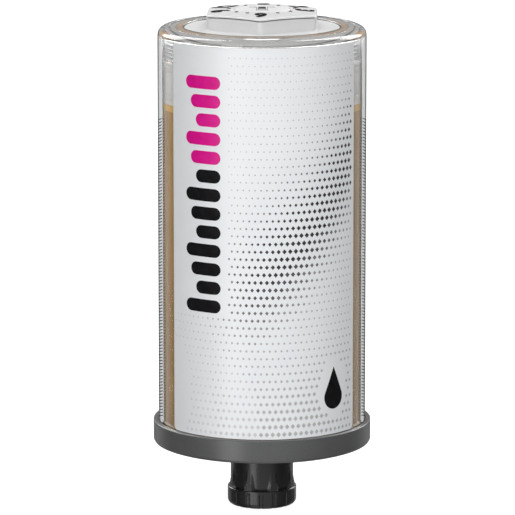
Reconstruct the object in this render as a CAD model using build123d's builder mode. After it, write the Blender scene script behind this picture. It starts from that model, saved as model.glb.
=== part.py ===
"""Single-point automatic lubricator, about 52 mm across and 125 mm tall.

A clear cylindrical cartridge stands over a grey base with a threaded outlet, which a
black screw cap closes. A white hexagonal drive head fills the opening in the top of
the cartridge. It holds a gas generator: button cells, a circuit board and a
setting dial. The gas drives a cup-shaped piston down the cartridge and pushes the
grease out of the outlet.

Frame: +Z up along the cartridge axis, origin at the centre of the cap's flat end.
The printed front panel faces -Y. All lengths are in millimetres.
"""

import math
import os

from build123d import *

os.makedirs("parts", exist_ok=True)

# ---------------------------------------------------------------- driving dimensions
body_r = 25.8  # cartridge, outside
bore_r = 24.6  # cartridge, inside
rim_top = 121.0  # top of the rounded rim
rim_in = 2.6  # how far the rim's rounding comes in
rim_drop = 1.9  # and how far it falls
plate_under = 118.9  # underside of the top plate, which is level with the rim
neck_r = 24.35  # inside the threaded zone under the top plate
neck_bottom = 113.4
mouth_r = 19.45  # opening for the head
tube_bottom = 18.4

base_r = 27.2
base_bottom = 16.2
base_top = 22.0
nipple_r = 6.58  # R 1/4 outlet thread, major radius
nipple_end = 4.2
outlet_r = 3.4

cap_r = 7.85
flange_r = 8.62
flange_h = 4.6
cap_top = 15.7
cap_bore_r = 6.66
cap_turn = -1.5  # how far the cap's ribs stand from the front, degrees

head_boss_r = 19.2
head_boss_z = 120.75
hex_flats = 27.0
hex_turn = -1.5  # how far the hexagon's front corner stands from -Y, degrees
dome_top = 125.3
dome_r = 150.0
can_r = 19.4  # generator can below the head
can_bottom = 106.5

dial_r = 7.0
dial_floor = 123.55
shaft_r = 3.0

piston_r = 24.3
piston_low = 102.8  # outer rim of the piston's underside
piston_high = 113.2

label_in = body_r + 0.01
label_out = body_r + 0.09
label_low = 22.1
label_high = 118.8

# ------------------------------------------------------------------------- cartridge
with BuildPart() as housing:
    with BuildSketch(Plane.XZ):
        with BuildLine():
            a = Polyline(
                (bore_r, tube_bottom),
                (body_r, tube_bottom),
                (body_r, rim_top - rim_drop),
            )
            b = ThreePointArc(
                a @ 1,
                (body_r - 0.293 * rim_in, rim_top - 0.293 * rim_drop),
                (body_r - rim_in, rim_top),
            )
            c = Polyline(
                b @ 1,
                (mouth_r, rim_top),
                (mouth_r, plate_under),
                (neck_r, plate_under),
                (neck_r, neck_bottom + 0.4),
                (bore_r, neck_bottom),
                (bore_r, tube_bottom),
            )
        make_face()
    revolve(axis=Axis.Z)
    mouth_edge = housing.edges().filter_by(GeomType.CIRCLE).filter_by(
        lambda e: abs(e.center().Z - rim_top) < 0.01 and e.radius < 20.0
    )
    fillet(mouth_edge, 0.3)
housing.part.label = "housing"
export_step(housing.part, "parts/housing.step")

# ------------------------------------------------------------------------------ base
with BuildPart() as base:
    with BuildSketch(Plane.XZ):
        with BuildLine():
            Polyline(
                (outlet_r, nipple_end),
                (nipple_r - 0.7, nipple_end),
                (nipple_r, nipple_end + 0.8),
                (nipple_r, base_bottom),
                (base_r, base_bottom),
                (base_r, base_top),
                (body_r + 0.16, base_top),
                (body_r + 0.16, tube_bottom - 0.1),
                (bore_r - 0.2, tube_bottom - 0.1),
                (bore_r - 0.2, 19.1),
                (23.25, 19.1),
                (23.25, 20.6),
                (bore_r - 0.2, 20.6),
                (bore_r - 0.2, 21.4),
                (22.2, 21.4),
                (22.2, 19.6),
                (outlet_r, 18.2),
                close=True,
            )
        make_face()
    revolve(axis=Axis.Z)
    outer = base.edges().filter_by(GeomType.CIRCLE).filter_by(
        lambda e: abs(e.radius - base_r) < 0.01
    )
    fillet(outer.sort_by(Axis.Z)[-1], 0.45)
    chamfer(outer.sort_by(Axis.Z)[0], 0.5)
base.part.label = "base"
export_step(base.part, "parts/base.step")

with BuildPart() as base_seal:
    with BuildSketch(Plane.XZ):
        with Locations((23.92, 19.85)):
            Circle(0.64)
    revolve(axis=Axis.Z)
base_seal.part.label = "base_seal"
export_step(base_seal.part, "parts/base_seal.step")

# --------------------------------------------------------------------------- end cap
# One tapered gusset; eight stand round the barrel and run out into the flange.
with BuildPart() as gusset:
    with BuildSketch(Plane.XY.offset(flange_h - 0.6)):
        with Locations((cap_r - 0.2, 0)):
            Rectangle(1.3, 3.2)
    with BuildSketch(Plane.XY.offset(flange_h + 5.3)):
        with Locations((cap_r - 0.53, 0)):
            Rectangle(0.98, 1.5)
    loft()

with BuildPart() as closure_cap:
    with BuildSketch(Plane.XZ):
        with BuildLine():
            Polyline(
                (0, 0.5),
                (4.6, 0.5),
                (5.0, 0),
                (flange_r - 0.9, 0),
                (flange_r - 0.25, 0.35),
                (flange_r, 1.0),
                (flange_r, flange_h - 0.3),
                (flange_r - 0.3, flange_h),
                (cap_r + 0.12, flange_h),
                (cap_r - 0.08, flange_h - 0.3),
                (cap_r - 0.08, flange_h + 0.25),
                (cap_r, flange_h + 0.45),
                (cap_r, cap_top - 0.3),
                (cap_r - 0.3, cap_top),
                (0, cap_top),
                close=True,
            )
        make_face()
    revolve(axis=Axis.Z)
    with PolarLocations(0, 8, start_angle=-90 + cap_turn + 22.5):
        add(gusset.part)
    # grip flutes round the flange, stopped below its top edge
    with BuildSketch(Plane.XY.offset(-0.5)):
        with PolarLocations(flange_r + 0.42, 16, start_angle=-90 + cap_turn):
            Circle(0.62)
    extrude(amount=flange_h - 0.25, mode=Mode.SUBTRACT)
    # threaded bore, plain at its major diameter
    with BuildSketch(Plane.XY.offset(2.5)):
        Circle(cap_bore_r)
    extrude(amount=cap_top, mode=Mode.SUBTRACT)
closure_cap.part.label = "closure_cap"
export_step(closure_cap.part, "parts/closure_cap.step")

with BuildPart() as cap_liner:
    with BuildSketch(Plane.XY.offset(2.56)):
        Circle(6.45)
    extrude(amount=1.5)
    chamfer(cap_liner.edges().group_by(Axis.Z)[-1], 0.2)
cap_liner.part.label = "cap_liner"
export_step(cap_liner.part, "parts/cap_liner.step")


# ---------------------------------------------------------------------------- labels
def wrap_sector(start, end):
    """Thin ring sector from one azimuth to another, both in degrees from -Y towards +X."""
    with BuildPart() as film:
        with BuildSketch(Plane.XZ):
            with Locations(((label_in + label_out) / 2, (label_low + label_high) / 2)):
                Rectangle(label_out - label_in, label_high - label_low)
        revolve(axis=Axis.Z, revolution_arc=end - start)
    return film.part


with BuildPart() as front_label:
    # printed panel, between the two sight strips
    with Locations(Rotation(0, 0, -90 - 57.0)):
        add(wrap_sector(-57.0, 60.3))
front_label.part.label = "front_label"
export_step(front_label.part, "parts/front_label.step")

with BuildPart() as rear_label:
    with Locations(Rotation(0, 0, -90 + 72.7)):
        add(wrap_sector(72.7, 288.0))
rear_label.part.label = "rear_label"
export_step(rear_label.part, "parts/rear_label.step")

# ------------------------------------------------------------------------ drive head
thread_pts = []
for i in range(5):
    z = 118.0 - i * 0.95
    thread_pts += [(23.75, z), (24.25, z - 0.35), (24.25, z - 0.55)]
# the last ring runs out on the skirt's end
thread_pts.append((23.75, 113.6))

with BuildPart() as head_body:
    # hexagon with softened corners under a shallow dome
    with BuildSketch(Plane.XY.offset(head_boss_z - 1.0)):
        RegularPolygon(
            radius=hex_flats / 2,
            side_count=6,
            major_radius=False,
            rotation=30 + hex_turn,
        )
    extrude(amount=dome_top - head_boss_z + 2.0)
    fillet(head_body.edges().filter_by(Axis.Z), 1.7)
    with Locations((0, 0, dome_top - dome_r)):
        Sphere(radius=dome_r, mode=Mode.INTERSECT)
    top_face = head_body.faces().sort_by(Axis.Z)[-1]
    fillet(top_face.edges(), 0.4)
    # boss, threaded skirt and generator can
    with BuildSketch(Plane.XZ):
        with BuildLine():
            Polyline(
                (0, head_boss_z),
                (head_boss_r - 0.3, head_boss_z),
                (head_boss_r, head_boss_z - 0.3),
                (head_boss_r, 117.2),
                (21.4, 117.2),
                (21.4, 118.4),
                (23.4, 118.4),
                *thread_pts,
                (22.7, 113.6),
                (22.7, 116.2),
                (20.7, 116.2),
                (20.7, 113.6),
                (can_r, 113.2),
                (can_r, can_bottom),
                (0, can_bottom),
                close=True,
            )
        make_face()
    revolve(axis=Axis.Z)
    # dial recess and shaft hole
    with BuildSketch(Plane.XY.offset(dial_floor)):
        Circle(dial_r + 0.15)
    extrude(amount=5, mode=Mode.SUBTRACT)
    with BuildSketch(Plane.XY.offset(can_bottom)):
        Circle(shaft_r + 0.08)
    extrude(amount=30, mode=Mode.SUBTRACT)
    # room for the generator, from below
    with BuildSketch(Plane.XY.offset(can_bottom)):
        Circle(17.4)
    extrude(amount=118.2 - can_bottom, mode=Mode.SUBTRACT)
    with BuildSketch(Plane.XY.offset(118.0)):
        Circle(11.8)
    extrude(amount=121.8 - 118.0, mode=Mode.SUBTRACT)
head_body.part.label = "head_body"
export_step(head_body.part, "parts/head_body.step")

with BuildPart() as head_seal:
    with BuildSketch(Plane.XZ):
        with Locations((20.42, 118.03)):
            RectangleRounded(1.76, 1.6, 0.35)
    revolve(axis=Axis.Z)
head_seal.part.label = "head_seal"
export_step(head_seal.part, "parts/head_seal.step")

# ----------------------------------------------------------------------- dial and key
with BuildPart() as setting_dial:
    with BuildSketch(Plane.XZ):
        with BuildLine():
            Polyline(
                (0, dome_top - 0.18),
                (dial_r - 0.25, dome_top - 0.18),
                (dial_r, dome_top - 0.43),
                (dial_r, dial_floor + 0.06),
                (shaft_r, dial_floor + 0.06),
                (shaft_r, 123.3),
                (2.25, 123.3),
                (2.25, 122.35),
                (shaft_r, 122.35),
                (shaft_r, 121.5),
                (2.3, 121.5),
                (2.3, 120.9),
                (shaft_r, 120.9),
                (shaft_r, 118.75),
                (1.6, 118.75),
                (1.6, 118.0),
                (0, 118.0),
                close=True,
            )
        make_face()
    revolve(axis=Axis.Z)
    # arrow raised on the face; its stem frames the slot that a key or coin turns
    with BuildSketch(Plane.XY.offset(dome_top - 0.25)):
        with BuildLine():
            Polyline(
                (0, 6.1),
                (3.1, 3.3),
                (1.25, 3.3),
                (1.25, -3.1),
                (-1.25, -3.1),
                (-1.25, 3.3),
                (-3.1, 3.3),
                close=True,
            )
        make_face()
    extrude(amount=0.27)
    with BuildSketch(Plane.XY.offset(dome_top + 0.1)):
        Rectangle(1.5, 5.2)
    extrude(amount=-1.7, mode=Mode.SUBTRACT)
setting_dial.part.label = "setting_dial"
export_step(setting_dial.part, "parts/setting_dial.step")

with BuildPart() as dial_seal:
    with BuildSketch(Plane.XZ):
        with Locations((2.66, 122.82)):
            Circle(0.38)
    revolve(axis=Axis.Z)
dial_seal.part.label = "dial_seal"
export_step(dial_seal.part, "parts/dial_seal.step")

with BuildPart() as dial_clip:
    # open snap ring under the head's roof
    with BuildSketch(Plane.XY.offset(120.95)):
        Circle(4.6)
        Circle(2.36, mode=Mode.SUBTRACT)
        with Locations((0, -4)):
            Rectangle(2.6, 8, mode=Mode.SUBTRACT)
    extrude(amount=0.5)
dial_clip.part.label = "dial_clip"
export_step(dial_clip.part, "parts/dial_clip.step")

with BuildPart() as dial_wiper:
    # contact spider on the end of the dial's shaft
    with BuildSketch(Plane.XY.offset(118.1)):
        Circle(2.8)
        with PolarLocations(0, 3, start_angle=90):
            with Locations((3.9, 0)):
                Rectangle(5.0, 1.0)
        with PolarLocations(6.2, 3, start_angle=90):
            Circle(0.8)
        Circle(1.64, mode=Mode.SUBTRACT)
    extrude(amount=0.3)
    with BuildSketch(Plane.XY.offset(117.55)):
        with PolarLocations(6.2, 3, start_angle=90):
            Circle(0.45)
    extrude(amount=0.6)
dial_wiper.part.label = "dial_wiper"
export_step(dial_wiper.part, "parts/dial_wiper.step")

# ---------------------------------------------------------------------- gas generator
with BuildPart() as circuit_board:
    with BuildSketch(Plane.XY.offset(116.5)):
        Circle(16.6)
        with PolarLocations(14.6, 3, start_angle=30):
            Circle(1.0, mode=Mode.SUBTRACT)
    extrude(amount=1.0)
circuit_board.part.label = "circuit_board"
export_step(circuit_board.part, "parts/circuit_board.step")

with BuildPart() as board_parts:
    # resistors round the dial's contact ring, and the timer chip
    with BuildSketch(Plane.XY.offset(117.52)):
        with PolarLocations(9.2, 11, start_angle=105):
            Rectangle(1.2, 0.7)
    extrude(amount=0.5)
    with BuildSketch(Plane.XY.offset(117.52)):
        with Locations((0, 9.3)):
            Rectangle(1.8, 1.6)
    extrude(amount=0.6)
board_parts.part.label = "board_parts"
export_step(board_parts.part, "parts/board_parts.step")

with BuildPart() as cell_carrier:
    with BuildSketch(Plane.XY.offset(109.9)):
        Circle(17.0)
        with Locations((-6.6, 0), (6.6, 0)):
            Circle(5.95, mode=Mode.SUBTRACT)
        with Locations((0, 11.0), (0, -11.0)):
            Circle(3.4, mode=Mode.SUBTRACT)
    extrude(amount=5.4)
cell_carrier.part.label = "cell_carrier"
export_step(cell_carrier.part, "parts/cell_carrier.step")

with BuildPart() as gas_cell_left:
    with BuildSketch(Plane.XY.offset(109.95)):
        with Locations((-6.6, 0)):
            Circle(5.8)
    extrude(amount=4.6)
    with BuildSketch(Plane.XY.offset(114.55)):
        with Locations((-6.6, 0)):
            Circle(4.9)
    extrude(amount=0.75)
gas_cell_left.part.label = "gas_cell_left"
export_step(gas_cell_left.part, "parts/gas_cell_left.step")

with BuildPart() as gas_cell_right:
    with BuildSketch(Plane.XY.offset(109.95)):
        with Locations((6.6, 0)):
            Circle(5.8)
    extrude(amount=4.6)
    with BuildSketch(Plane.XY.offset(114.55)):
        with Locations((6.6, 0)):
            Circle(4.9)
    extrude(amount=0.75)
gas_cell_right.part.label = "gas_cell_right"
export_step(gas_cell_right.part, "parts/gas_cell_right.step")

with BuildPart() as cell_contact_top:
    with BuildSketch(Plane.XY.offset(115.35)):
        with Locations((0, 0)):
            SlotOverall(21.0, 4.0)
    extrude(amount=0.25)
    with BuildSketch(Plane.XY.offset(115.55)):
        with Locations((-3, 0), (3, 0)):
            Rectangle(1.0, 2.4)
    extrude(amount=0.9)
cell_contact_top.part.label = "cell_contact_top"
export_step(cell_contact_top.part, "parts/cell_contact_top.step")

with BuildPart() as cell_contact_bottom:
    with BuildSketch(Plane.XY.offset(109.6)):
        with Locations((-6.6, 0), (6.6, 0)):
            Circle(3.2)
        Rectangle(13.2, 2.4)
    extrude(amount=0.25)
cell_contact_bottom.part.label = "cell_contact_bottom"
export_step(cell_contact_bottom.part, "parts/cell_contact_bottom.step")

with BuildPart() as generator_cover:
    # floor of the can, with the gas ports
    with BuildSketch(Plane.XY.offset(can_bottom + 0.1)):
        Circle(17.25)
        with PolarLocations(9.0, 6):
            Circle(0.9, mode=Mode.SUBTRACT)
        Circle(1.4, mode=Mode.SUBTRACT)
    extrude(amount=1.5)
    with BuildSketch(Plane.XY.offset(can_bottom + 1.6)):
        Circle(17.25)
        Circle(15.4, mode=Mode.SUBTRACT)
    extrude(amount=1.6)
generator_cover.part.label = "generator_cover"
export_step(generator_cover.part, "parts/generator_cover.step")

with BuildPart() as gas_membrane:
    with BuildSketch(Plane.XY.offset(can_bottom + 1.62)):
        Circle(13.5)
    extrude(amount=0.35)
gas_membrane.part.label = "gas_membrane"
export_step(gas_membrane.part, "parts/gas_membrane.step")

# ---------------------------------------------------------------------------- piston
# The underside matches the base's floor, so that nothing is left behind at the end of
# the stroke.
with BuildPart() as piston:
    with BuildSketch(Plane.XZ):
        with BuildLine():
            Polyline(
                (0, 99.75),
                (3.4, 99.75),
                (21.95, 101.15),
                (21.95, piston_low),
                (piston_r - 0.15, piston_low),
                (piston_r, piston_low + 0.15),
                (piston_r, 103.7),
                (23.1, 103.7),
                (23.1, 105.2),
                (piston_r, 105.2),
                (piston_r, 110.7),
                (23.1, 110.7),
                (23.1, 112.2),
                (piston_r, 112.2),
                (piston_r, piston_high - 0.2),
                (piston_r - 0.2, piston_high),
                (22.4, piston_high),
                (22.1, piston_high - 0.3),
                (21.7, 105.4),
                (20.2, 104.0),
                (3.4, 102.3),
                (0, 102.3),
                close=True,
            )
        make_face()
    revolve(axis=Axis.Z)
    # stiffening webs inside the cup, clear of the generator can
    with BuildSketch(Plane.XY.offset(102.6)):
        with PolarLocations(11.5, 8):
            Rectangle(14.0, 1.0)
    extrude(amount=1.9)
piston.part.label = "piston"
export_step(piston.part, "parts/piston.step")

with BuildPart() as piston_seal_lower:
    with BuildSketch(Plane.XZ):
        with Locations((23.85, 104.45)):
            Circle(0.71)
    revolve(axis=Axis.Z)
piston_seal_lower.part.label = "piston_seal_lower"
export_step(piston_seal_lower.part, "parts/piston_seal_lower.step")

with BuildPart() as piston_seal_upper:
    with BuildSketch(Plane.XZ):
        with Locations((23.85, 111.45)):
            Circle(0.71)
    revolve(axis=Axis.Z)
piston_seal_upper.part.label = "piston_seal_upper"
export_step(piston_seal_upper.part, "parts/piston_seal_upper.step")

# ---------------------------------------------------------------------------- grease
with BuildPart() as grease_fill:
    with BuildSketch(Plane.XZ):
        with BuildLine():
            Polyline(
                (0, 18.25),
                (outlet_r, 18.25),
                (22.15, 19.65),
                (22.15, 21.45),
                (bore_r - 0.04, 21.45),
                (bore_r - 0.04, piston_low - 0.04),
                (22.0, piston_low - 0.04),
                (22.0, 101.09),
                (3.4, 99.69),
                (0, 99.69),
                close=True,
            )
        make_face()
    revolve(axis=Axis.Z)
grease_fill.part.label = "grease_fill"
export_step(grease_fill.part, "parts/grease_fill.step")

print("chamber volume, ml:", round(grease_fill.part.volume / 1000, 1))
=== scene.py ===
import math

import bmesh
import bpy
from mathutils import Matrix, Vector


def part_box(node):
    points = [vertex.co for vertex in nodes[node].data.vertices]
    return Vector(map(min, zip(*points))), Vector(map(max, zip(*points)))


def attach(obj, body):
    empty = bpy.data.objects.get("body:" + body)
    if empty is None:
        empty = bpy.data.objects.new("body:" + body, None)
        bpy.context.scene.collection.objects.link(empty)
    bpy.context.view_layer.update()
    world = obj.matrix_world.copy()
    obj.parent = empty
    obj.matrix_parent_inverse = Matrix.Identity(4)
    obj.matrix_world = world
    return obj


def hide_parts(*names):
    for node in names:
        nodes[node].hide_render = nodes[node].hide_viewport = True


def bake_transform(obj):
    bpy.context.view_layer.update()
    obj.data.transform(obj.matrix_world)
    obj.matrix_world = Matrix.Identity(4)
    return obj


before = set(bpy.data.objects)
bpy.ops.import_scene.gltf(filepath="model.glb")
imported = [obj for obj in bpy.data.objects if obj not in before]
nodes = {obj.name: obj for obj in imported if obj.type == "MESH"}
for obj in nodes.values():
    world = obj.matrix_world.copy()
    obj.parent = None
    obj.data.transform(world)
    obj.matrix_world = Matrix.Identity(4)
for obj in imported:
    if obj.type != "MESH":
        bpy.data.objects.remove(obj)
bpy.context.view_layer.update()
scene = bpy.context.scene
TAU = math.tau
MM = 0.001
sin, cos, pi, rad, deg = math.sin, math.cos, math.pi, math.radians, math.degrees

# =====================================================================================
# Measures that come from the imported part, in millimetres
# =====================================================================================


def span(node):
    lo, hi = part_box(node)
    return [v * 1000 for v in lo], [v * 1000 for v in hi]


h_lo, h_hi = span("housing")
b_lo, b_hi = span("base")
c_lo, c_hi = span("closure_cap")
l_lo, l_hi = span("front_label")
k_lo, k_hi = span("head_body")
d_lo, d_hi = span("setting_dial")
p_lo, p_hi = span("piston")
g_lo, g_hi = span("grease_fill")
s_lo, s_hi = span("head_seal")

BODY_R = h_hi[0]
BORE_R = 24.6
RIM_TOP = h_hi[2]
TUBE_LOW = h_lo[2]
BASE_R = b_hi[0]
BASE_TOP = b_hi[2]
BASE_LOW = 16.2
CAP_TOP = c_hi[2]
DOME = k_hi[2] if k_hi[2] > 124 else 125.1
LABEL_LOW, LABEL_HIGH = l_lo[2], l_hi[2]
LABEL_R = BODY_R + 0.08

# =====================================================================================
# Mesh helpers. Everything is written in millimetres and stored in metres.
# =====================================================================================


def new_object(name, verts, faces, sharp=38, mats=None, face_mats=None):
    me = bpy.data.meshes.new(name)
    me.from_pydata([(x * MM, y * MM, z * MM) for x, y, z in verts], [], faces)
    me.validate()
    bm = bmesh.new()
    bm.from_mesh(me)
    bmesh.ops.recalc_face_normals(bm, faces=bm.faces)
    bm.to_mesh(me)
    bm.free()
    me.polygons.foreach_set("use_smooth", [True] * len(me.polygons))
    me.set_sharp_from_angle(angle=rad(sharp))
    ob = bpy.data.objects.new(name, me)
    scene.collection.objects.link(ob)
    return ob


def loft(name, rows, ring=True, sharp=38, pole_start=None, pole_end=None, loop=False):
    """Rows of equal length joined by quads. ring closes each row, loop joins the last row
    to the first, and a pole point closes an open end."""
    n = len(rows[0])
    verts = [p for row in rows for p in row]
    faces = []
    m = len(rows)
    for i in range(m if loop else m - 1):
        a, b = i * n, ((i + 1) % m) * n
        for j in range(n if ring else n - 1):
            k = (j + 1) % n
            faces.append((a + j, a + k, b + k, b + j))
    if pole_start is not None:
        verts.append(pole_start)
        c = len(verts) - 1
        faces += [(c, (j + 1) % n, j) for j in range(n)]
    if pole_end is not None:
        verts.append(pole_end)
        c = len(verts) - 1
        a = (m - 1) * n
        faces += [(c, a + j, a + (j + 1) % n) for j in range(n)]
    return new_object(name, verts, faces, sharp)


def rounded(points, default=0.0, steps=5):
    """A closed profile with its corners rounded. Each point is (r, z) or (r, z, radius)."""
    out = []
    n = len(points)
    for i in range(n):
        p = points[i]
        rr = p[2] if len(p) > 2 else default
        a, b, c = points[i - 1][:2], p[:2], points[(i + 1) % n][:2]
        u = Vector((a[0] - b[0], a[1] - b[1]))
        v = Vector((c[0] - b[0], c[1] - b[1]))
        lu, lv = u.length, v.length
        if rr <= 0 or lu < 1e-9 or lv < 1e-9:
            out.append(b)
            continue
        u.normalize()
        v.normalize()
        ang = u.angle(v)
        if ang > pi - 0.02:
            out.append(b)
            continue
        t = min(rr / math.tan(ang / 2), lu * 0.49, lv * 0.49)
        r_eff = t * math.tan(ang / 2)
        p0 = Vector(b) + u * t
        p1 = Vector(b) + v * t
        centre = Vector(b) + (u + v).normalized() * (r_eff / sin(ang / 2))
        a0 = math.atan2(p0.y - centre.y, p0.x - centre.x)
        a1 = math.atan2(p1.y - centre.y, p1.x - centre.x)
        d = a1 - a0
        while d > pi:
            d -= TAU
        while d < -pi:
            d += TAU
        for s in range(steps + 1):
            w = a0 + d * s / steps
            out.append((centre.x + r_eff * cos(w), centre.y + r_eff * sin(w)))
    return out


def lathe(name, profile, seg=192, sharp=38):
    """A closed profile turned about Z. Points on the axis become poles."""
    if min(p[0] for p in profile) > 1e-6:
        rows = [[(r * cos(TAU * j / seg), r * sin(TAU * j / seg), z) for j in range(seg)] for r, z in profile]
        return loft(name, rows, loop=True, sharp=sharp)
    start = next(i for i, p in enumerate(profile) if p[0] < 1e-6)
    prof = profile[start:] + profile[:start]
    # the run between the two axis points
    k = len(prof)
    first = prof[0]
    last_i = max(i for i in range(k) if prof[i][0] < 1e-6)
    if last_i == k - 1:
        run, end = prof[1:-1], prof[-1]
    else:
        prof = prof[last_i:] + prof[:last_i]
        first = prof[0]
        last_i = max(i for i in range(k) if prof[i][0] < 1e-6)
        run, end = prof[1:last_i], prof[last_i]
    rows = [[(r * cos(TAU * j / seg), r * sin(TAU * j / seg), z) for j in range(seg)] for r, z in run]
    return loft(name, rows, sharp=sharp, pole_start=(0, 0, first[1]), pole_end=(0, 0, end[1]))


def joined(name, parts, sharp=38):
    """One object from several lists of (verts, faces, material index)."""
    verts, faces, idx = [], [], []
    for v, f, m in parts:
        o = len(verts)
        verts += v
        faces += [tuple(i + o for i in face) for face in f]
        idx += [m] * len(f)
    me = bpy.data.meshes.new(name)
    me.from_pydata([(x * MM, y * MM, z * MM) for x, y, z in verts], [], faces)
    me.polygons.foreach_set("use_smooth", [True] * len(faces))
    me.polygons.foreach_set("material_index", idx)
    me.set_sharp_from_angle(angle=rad(sharp))
    ob = bpy.data.objects.new(name, me)
    scene.collection.objects.link(ob)
    return ob


def place(ob, body, slot, *replaced):
    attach(ob, body)
    if replaced:
        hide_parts(*replaced)
    return ob


# =====================================================================================
# Materials
# =====================================================================================


class Mat:
    """A Principled material with a small helper for procedural nodes."""

    def __init__(self, name, color=(0.5, 0.5, 0.5), rough=0.5, metal=0.0, ior=1.45, spec=0.5):
        self.m = bpy.data.materials.new(name)
        self.m.use_nodes = True
        self.nt = self.m.node_tree
        self.nt.nodes.clear()
        self.out = self.nt.nodes.new("ShaderNodeOutputMaterial")
        self.p = self.nt.nodes.new("ShaderNodeBsdfPrincipled")
        self.nt.links.new(self.p.outputs[0], self.out.inputs["Surface"])
        self.set("Base Color", (*color, 1))
        self.set("Roughness", rough)
        self.set("Metallic", metal)
        self.set("IOR", ior)
        self.set("Specular IOR Level", spec)
        self.tc = self.nt.nodes.new("ShaderNodeTexCoord")
        self.coord = self.tc.outputs["Object"]

    def set(self, name, value):
        self.p.inputs[name].default_value = value

    def node(self, kind, **props):
        n = self.nt.nodes.new(kind)
        for k, v in props.items():
            setattr(n, k, v)
        return n

    def link(self, a, b):
        self.nt.links.new(a, b)

    def mapping(self, scale=(1, 1, 1), source=None):
        n = self.node("ShaderNodeMapping")
        n.inputs["Scale"].default_value = scale
        self.link(source or self.coord, n.inputs["Vector"])
        return n.outputs[0]

    def noise(self, scale, detail=4.0, rough=0.55, vec=None, distortion=0.0):
        n = self.node("ShaderNodeTexNoise")
        n.inputs["Scale"].default_value = scale
        n.inputs["Detail"].default_value = detail
        n.inputs["Roughness"].default_value = rough
        n.inputs["Distortion"].default_value = distortion
        self.link(vec or self.coord, n.inputs["Vector"])
        return n.outputs["Fac"]

    def voronoi(self, scale, vec=None, feature="F1", randomness=1.0):
        n = self.node("ShaderNodeTexVoronoi", feature=feature)
        n.inputs["Scale"].default_value = scale
        n.inputs["Randomness"].default_value = randomness
        self.link(vec or self.coord, n.inputs["Vector"])
        return n.outputs["Distance"]

    def ramp(self, fac, stops):
        n = self.node("ShaderNodeValToRGB")
        cr = n.color_ramp
        while len(cr.elements) < len(stops):
            cr.elements.new(0.5)
        for e, (pos, col) in zip(cr.elements, stops):
            e.position = pos
            e.color = (*col, 1) if not isinstance(col, (int, float)) else (col, col, col, 1)
        self.link(fac, n.inputs[0])
        return n.outputs[0]

    def remap(self, fac, a, b, c, d):
        n = self.node("ShaderNodeMapRange")
        for k, v in zip(("From Min", "From Max", "To Min", "To Max"), (a, b, c, d)):
            n.inputs[k].default_value = v
        self.link(fac, n.inputs["Value"])
        return n.outputs[0]

    def math(self, op, a, b=None, c=None):
        n = self.node("ShaderNodeMath", operation=op)
        for i, v in enumerate((a, b, c)):
            if v is None:
                continue
            if isinstance(v, (int, float)):
                n.inputs[i].default_value = v
            else:
                self.link(v, n.inputs[i])
        return n.outputs[0]

    def mix(self, fac, a, b, mode="MIX"):
        n = self.node("ShaderNodeMix", data_type="RGBA", blend_type=mode)
        for sock, v in ((n.inputs[0], fac), (n.inputs[6], a), (n.inputs[7], b)):
            if isinstance(v, (int, float)):
                sock.default_value = v
            elif isinstance(v, tuple):
                sock.default_value = (*v, 1) if len(v) == 3 else v
            else:
                self.link(v, sock)
        return n.outputs[2]

    def xyz(self):
        n = self.node("ShaderNodeSeparateXYZ")
        self.link(self.coord, n.inputs[0])
        return n.outputs

    def bump(self, *layers):
        """layers: (height socket, distance in mm, strength)."""
        last = None
        for h, dist, strength in layers:
            n = self.node("ShaderNodeBump")
            n.inputs["Distance"].default_value = dist * MM
            n.inputs["Strength"].default_value = strength
            self.link(h, n.inputs["Height"])
            if last:
                self.link(last, n.inputs["Normal"])
            last = n.outputs[0]
        self.link(last, self.p.inputs["Normal"])
        return last

    def color(self, sock):
        self.link(sock, self.p.inputs["Base Color"])

    def rough(self, sock):
        self.link(sock, self.p.inputs["Roughness"])


def moulded(name, dark, light, rough=(0.38, 0.5), grain=0.012, spec=0.5, scale=1.0, streak=0.0):
    """Injection-moulded plastic: fine spark-eroded grain, faint flow mottling."""
    m = Mat(name, light, sum(rough) / 2, spec=spec)
    big = m.noise(90 * scale, 3)
    fine = m.noise(1500 * scale, 2)
    tone = m.math("MULTIPLY_ADD", fine, 0.35, m.math("MULTIPLY", big, 0.65))
    if streak:
        flow = m.noise(60, 3, vec=m.mapping((1, 1, 0.08)))
        tone = m.math("MULTIPLY_ADD", flow, streak, m.math("MULTIPLY", tone, 1 - streak))
    m.color(m.ramp(tone, [(0.3, dark), (0.7, light)]))
    m.rough(m.remap(big, 0.3, 0.7, *rough))
    pits = m.voronoi(2600 * scale)
    m.bump((big, 0.05, 0.12), (pits, grain, 0.5), (fine, grain, 0.35))
    return m.m


def assign(ob, *mats):
    """Gives the object its materials; faces keep their indices."""
    slots = ob.data.materials
    for i, m in enumerate(mats):
        if i < len(slots):
            slots[i] = m
        else:
            slots.append(m)
    return ob


# --- clear cartridge ---------------------------------------------------------------
clear = Mat("clear_plastic", (0.985, 0.988, 0.985), 0.015, ior=1.47)
clear.set("Transmission Weight", 1.0)
wob = clear.noise(45, 2, vec=clear.mapping((1, 1, 0.35)))
spec_n = clear.noise(700, 2)
clear.rough(clear.remap(spec_n, 0.35, 0.75, 0.0, 0.012))
clear.bump((wob, 0.008, 0.1))
tr = clear.node("ShaderNodeBsdfTransparent")
tr.inputs[0].default_value = (0.93, 0.935, 0.935, 1)
lp = clear.node("ShaderNodeLightPath")
mx = clear.node("ShaderNodeMixShader")
clear.link(lp.outputs["Is Shadow Ray"], mx.inputs[0])
clear.link(clear.p.outputs[0], mx.inputs[1])
clear.link(tr.outputs[0], mx.inputs[2])
# painted shade: towards grazing angles the clear plastic is mixed with a dark diffuse, a painted dark outline along its
# silhouettes
lw = clear.node("ShaderNodeLayerWeight")
lw.inputs[0].default_value = 0.5
edge = clear.node("ShaderNodeMapRange", interpolation_type="SMOOTHSTEP")
for k, v in zip(("From Min", "From Max", "To Min", "To Max"), (0.855, 0.925, 0.0, 0.85)):
    edge.inputs[k].default_value = v
clear.link(lw.outputs["Facing"], edge.inputs["Value"])
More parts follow.
